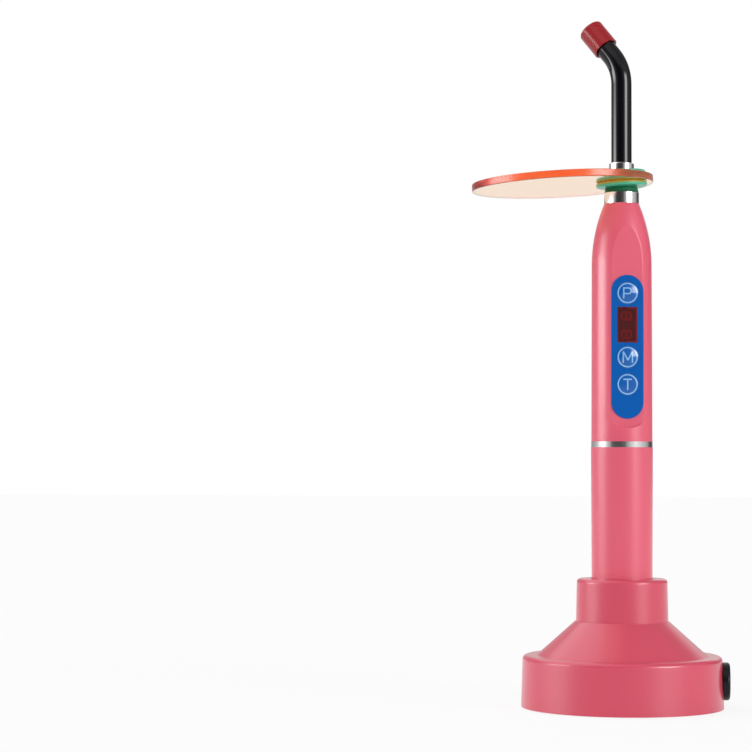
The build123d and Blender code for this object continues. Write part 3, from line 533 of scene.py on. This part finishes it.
def dress_frame():
    """Gives each CAD node the finish of its material slot in the record, or one of its own."""
    finishes = {}
    for part in frame["record"]["subparts"]:
        make = NODE_FINISHES.get(part["node"], SLOT_FINISHES[part["material_slot"]])
        name = make.__name__
        if name not in finishes:
            finishes[name] = make(name).material
        mesh = frame["nodes"][part["node"]].data
        mesh.materials.clear()
        mesh.materials.append(finishes[name])


SLOT_FINISHES = {
    make.__name__: make
    for make in (
        base_plastic, body_plastic, black_plastic, inlet_plastic, grey_plastic, foot_rubber,
        seal_rubber, grommet_rubber, cap_red, wire, steel, ballast_steel, spring_steel, chrome,
        brass, contact_gold, aluminium, board, lamp_board, chip, cell_wrap, liner_card, panel_blue,
        button_blue, window_red, segment_red, display_black, lamp_dome, clear_lens, guide_glass,
        guide_black, shield_orange,
    )
}
NODE_FINISHES = {"joint_ring": ring_chrome}


# Legends on the buttons

def facet_normal():
    """Points out of the control panel, against the way the buttons travel."""
    press = next(joint for joint in frame["joints"] if joint["name"] == "power_press")
    return -Vector(press["axis"]).normalized()


def arc(centre_x, centre_y, radius, start, end):
    """Points along an arc, in degrees, spaced by the print's step."""
    turn = radians(end - start)
    count = max(arc_least_steps, round(abs(turn) * radius / print_step))
    angles = [radians(start) + turn * index / count for index in range(count + 1)]
    return [(centre_x + radius * cos(angle), centre_y + radius * sin(angle)) for angle in angles]


def letter_strokes(letter):
    """The strokes of one letter, as lines of points around its middle."""
    half = letter_height / 2
    line = letter_line / 2
    if letter == "P":
        stem = -p_stem_reach * letter_height
        bowl = p_bowl_radius * letter_height
        straight = p_bowl_straight * letter_height
        bowl_line = [(stem, half - line)]
        bowl_line += arc(straight, half - line - bowl, bowl, 90, -90)
        bowl_line += [(stem, half - line - 2 * bowl)]
        return [[(stem, -half), (stem, half)], bowl_line]
    if letter == "M":
        side = m_reach * letter_height
        notch = -m_notch * half
        return [
            [(-side, -half), (-side, half)],
            [(-side, half), (0, notch)],
            [(0, notch), (side, half)],
            [(side, half), (side, -half)],
        ]
    side = t_reach * letter_height
    return [[(-side, half - line), (side, half - line)], [(0, half - line), (0, -half)]]


def ribbon_faces(points, width, vertices, faces):
    """Adds a flat ribbon along a line of points, cut finely enough to follow a dome."""
    line = [Vector(point) for point in points]
    fine = [line[0]]
    for start, end in zip(line, line[1:]):
        count = max(1, round((end - start).length / print_step))
        fine += [start.lerp(end, step / count) for step in range(1, count + 1)]
    first = len(vertices)
    for index, point in enumerate(fine):
        ahead = fine[min(index + 1, len(fine) - 1)]
        behind = fine[max(index - 1, 0)]
        along = (ahead - behind).normalized()
        side = Vector((-along.y, along.x)) * width / 2
        vertices += [point + side, point, point - side]
    for index in range(len(fine) - 1):
        low = first + 3 * index
        faces += [(low, low + 3, low + 4, low + 1), (low + 1, low + 4, low + 5, low + 2)]


def print_on(button, name, strokes, ink):
    """Lays printed strokes on a button, each point dropped onto the dome along the panel's normal."""
    node = frame["nodes"][f"button_{button}"]
    outward = facet_normal()
    upward = Vector((0, 0, 1))
    across = upward.cross(outward)
    low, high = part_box(f"button_{button}")
    middle_z = (low.z + high.z) / 2
    flat, faces = [], []
    for points, width in strokes:
        ribbon_faces(points, width, flat, faces)
    surface = BVHTree.FromPolygons(
        [vertex.co for vertex in node.data.vertices],
        [tuple(polygon.vertices) for polygon in node.data.polygons],
    )
    placed = []
    for point in flat:
        above = Vector((0, 0, middle_z)) + across * point.x + upward * point.y + outward * drop_height
        hit = surface.ray_cast(above, -outward)[0]
        placed.append(hit + outward * print_lift)
    mesh = bpy.data.meshes.new(name)
    mesh.from_pydata(placed, [], faces)
    mesh.materials.append(ink)
    legend = bpy.data.objects.new(name, mesh)
    bpy.context.scene.collection.objects.link(legend)
    solid = legend.modifiers.new("ink_thickness", "SOLIDIFY")
    solid.thickness = ink_share * print_lift
    solid.offset = -1
    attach(legend, node["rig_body"])


def print_buttons():
    """A ring and a plain letter on each of the three buttons."""
    ink = print_blue("print_blue").material
    ring = [(arc(0, 0, ring_radius, 0, 360), ring_line)]
    for button in ("power", "mode", "time"):
        letter = button[0].upper()
        strokes = [(points, letter_line) for points in letter_strokes(letter)]
        print_on(button, f"{button}_ring", ring, ink)
        print_on(button, f"{button}_letter", strokes, ink)


# Camera, floor and light

def make_camera():
    """Stands on the -Y side, turned a little to the left and up, so that the object is at the right."""
    forward = Vector((-sin(camera_yaw) * cos(camera_pitch), cos(camera_yaw) * cos(camera_pitch),
                      sin(camera_pitch)))
    level = Vector((cos(camera_yaw), sin(camera_yaw), 0))
    upright = level.cross(forward)
    right = cos(camera_roll) * level + sin(camera_roll) * upright
    up = right.cross(forward)
    place = Matrix((right, up, -forward)).transposed().to_4x4()
    place.translation = (0, -camera_distance, camera_height)
    data = bpy.data.cameras.new("camera")
    data.sensor_width = sensor_width
    data.lens = sensor_width * focal_length_px / image_width_px
    data.clip_start = camera_near
    data.clip_end = camera_far
    camera = bpy.data.objects.new("camera", data)
    camera.matrix_world = place
    bpy.context.scene.collection.objects.link(camera)
    bpy.context.scene.camera = camera


def floor_material():
    """White where it is seen, directly or in a reflection, and still dimmed by the object's shadow."""
    material = bpy.data.materials.new("floor_white")
    material.use_nodes = True
    tree = material.node_tree
    tree.nodes.remove(tree.nodes["Principled BSDF"])
    diffuse = tree.nodes.new("ShaderNodeBsdfDiffuse")
    diffuse.inputs["Color"].default_value = (floor_white, floor_white, floor_white, 1)
    glow = tree.nodes.new("ShaderNodeEmission")
    rays = tree.nodes.new("ShaderNodeLightPath").outputs
    seen = arithmetic(tree, "MAXIMUM", rays["Is Camera Ray"], rays["Is Transmission Ray"])
    plain = arithmetic(tree, "MULTIPLY", seen, floor_glow)
    mirrored = arithmetic(tree, "MULTIPLY", rays["Is Glossy Ray"], floor_glossy_glow)
    share = arithmetic(tree, "MAXIMUM", plain, mirrored)
    surface = mixed_shader(tree, share, diffuse.outputs["BSDF"], glow.outputs["Emission"])
    tree.links.new(surface, tree.nodes["Material Output"].inputs["Surface"])
    return material


def make_floor():
    """A plain square far wider than the picture."""
    corners = [(-floor_reach, -floor_reach, 0), (floor_reach, -floor_reach, 0),
               (floor_reach, floor_reach, 0), (-floor_reach, floor_reach, 0)]
    mesh = bpy.data.meshes.new("floor")
    mesh.from_pydata(corners, [], [(0, 1, 2, 3)])
    mesh.materials.append(floor_material())
    floor = bpy.data.objects.new("floor", mesh)
    bpy.context.scene.collection.objects.link(floor)


# The studio around the object, by the angle from the camera's side in degrees, left below 0: each stop
# is (angle, brightness). A source rises between the two heights of its foot and fades between those of
# its head, all as the sine of the elevation.
surround_stops = [
    (-180, 0.9), (-160, 0.55), (-140, 0.40), (-128, 0.50), (-106, 0.66), (-90, 0.78), (-78, 1.0),
    (-68, 1.0), (-58, 0.82), (-47, 0.48), (-35, 0.09), (-22, 0.04), (-5, 0.05), (12, 0.12),
    (23, 0.46), (35, 0.76), (54, 1.0), (72, 0.90), (89, 0.70), (106, 0.50), (122, 0.17),
    (134, 0.07), (152, 0.20), (180, 0.9),
]
left_box_stops = [(-99, 0.0), (-90, 1.0), (-72, 1.0), (-63, 0.0)]
left_glow_stops = [(-108, 0.0), (-94, 1.0), (-72, 1.0), (-54, 0.0)]
right_box_stops = [(34, 0.0), (46, 1.0), (62, 1.0), (73, 0.0)]
back_right_stops = [(140, 0.0), (155, 1.0), (170, 1.0), (180, 0.5)]
high_stops = [
    (-180, 0.40), (-150, 1.0), (-60, 1.0), (-30, 0.65), (5, 0.42), (35, 0.20), (60, 0.09),
    (100, 0.05), (150, 0.06), (180, 0.40),
]
left_box_strength = 4.0
left_glow_strength = 9.5
right_box_strength = 13.5
back_right_strength = 0.8
high_strength = 1.45
overhead_strength = 0.4
left_box_foot = (0.01, 0.06)
left_box_head = (0.35, 0.50)
left_glow_foot = (0.015, 0.055)
left_glow_head = (0.11, 0.18)
right_box_foot = (0.04, 0.13)
right_box_head = (0.32, 0.48)
back_right_foot = (0.12, 0.25)
back_right_head = (0.45, 0.65)
high_foot = (0.42, 0.60)
high_head = (0.96, 1.00)
surround_head = (0.45, 0.80)


def studio_world():
    """Softboxes at both sides, a soft light from above, a dark gap at the camera and white behind."""
    world = bpy.data.worlds.new("studio")
    world.use_nodes = True
    bpy.context.scene.world = world
    tree = world.node_tree
    tree.nodes.clear()

    def node(kind, **settings):
        made = tree.nodes.new(kind)
        for key, value in settings.items():
            setattr(made, key, value)
        return made

    def math(operation, first, second):
        return arithmetic(tree, operation, first, second)

    def stepped(value, low, high):
        made = node("ShaderNodeMapRange", interpolation_type="SMOOTHSTEP")
        made.inputs["From Min"].default_value = low
        made.inputs["From Max"].default_value = high
        tree.links.new(value, made.inputs["Value"])
        return made.outputs["Result"]

    def ramp(value, stops):
        made = node("ShaderNodeValToRGB")
        made.color_ramp.interpolation = "EASE"
        elements = made.color_ramp.elements
        while len(elements) < len(stops):
            elements.new(0.5)
        for element, (angle, brightness) in zip(elements, stops):
            element.position = angle / 360 + 0.5
            element.color = (brightness, brightness, brightness, 1)
        tree.links.new(value, made.inputs["Fac"])
        return made.outputs["Color"]

    direction = node("ShaderNodeSeparateXYZ")
    tree.links.new(node("ShaderNodeTexCoord").outputs["Generated"], direction.inputs["Vector"])
    toward_camera = math("MULTIPLY", direction.outputs["Y"], -1.0)
    azimuth = math("ARCTAN2", direction.outputs["X"], toward_camera)
    turn = math("ADD", math("DIVIDE", azimuth, 2 * pi), 0.5)
    height = direction.outputs["Z"]

    def source(stops, strength, foot, head):
        upright = math("SUBTRACT", stepped(height, *foot), stepped(height, *head))
        return math("MULTIPLY", math("MULTIPLY", ramp(turn, stops), upright), strength)

    sources = [
        source(left_box_stops, left_box_strength, left_box_foot, left_box_head),
        source(right_box_stops, right_box_strength, right_box_foot, right_box_head),
        source(left_glow_stops, left_glow_strength, left_glow_foot, left_glow_head),
        source(back_right_stops, back_right_strength, back_right_foot, back_right_head),
        source(high_stops, high_strength, high_foot, high_head),
        math("MULTIPLY", stepped(height, *surround_head), overhead_strength),
    ]
    level = math("SUBTRACT", 1.0, stepped(height, *surround_head))
    brightness = math("MULTIPLY", ramp(turn, surround_stops), level)
    for light in sources:
        brightness = math("ADD", brightness, light)

    studio = node("ShaderNodeBackground")
    tree.links.new(brightness, studio.inputs["Strength"])
    backdrop = node("ShaderNodeBackground")
    backdrop.inputs["Color"].default_value = (1, 1, 1, 1)
    path = node("ShaderNodeLightPath")
    seen = math("MAXIMUM", path.outputs["Is Camera Ray"], path.outputs["Is Transmission Ray"])
    surface = mixed_shader(tree, seen, studio.outputs["Background"], backdrop.outputs["Background"])
    output = node("ShaderNodeOutputWorld")
    tree.links.new(surface, output.inputs["Surface"])


dress_frame()
print_buttons()
make_camera()
make_floor()
studio_world()
bpy.context.scene.view_settings.view_transform = "Standard"
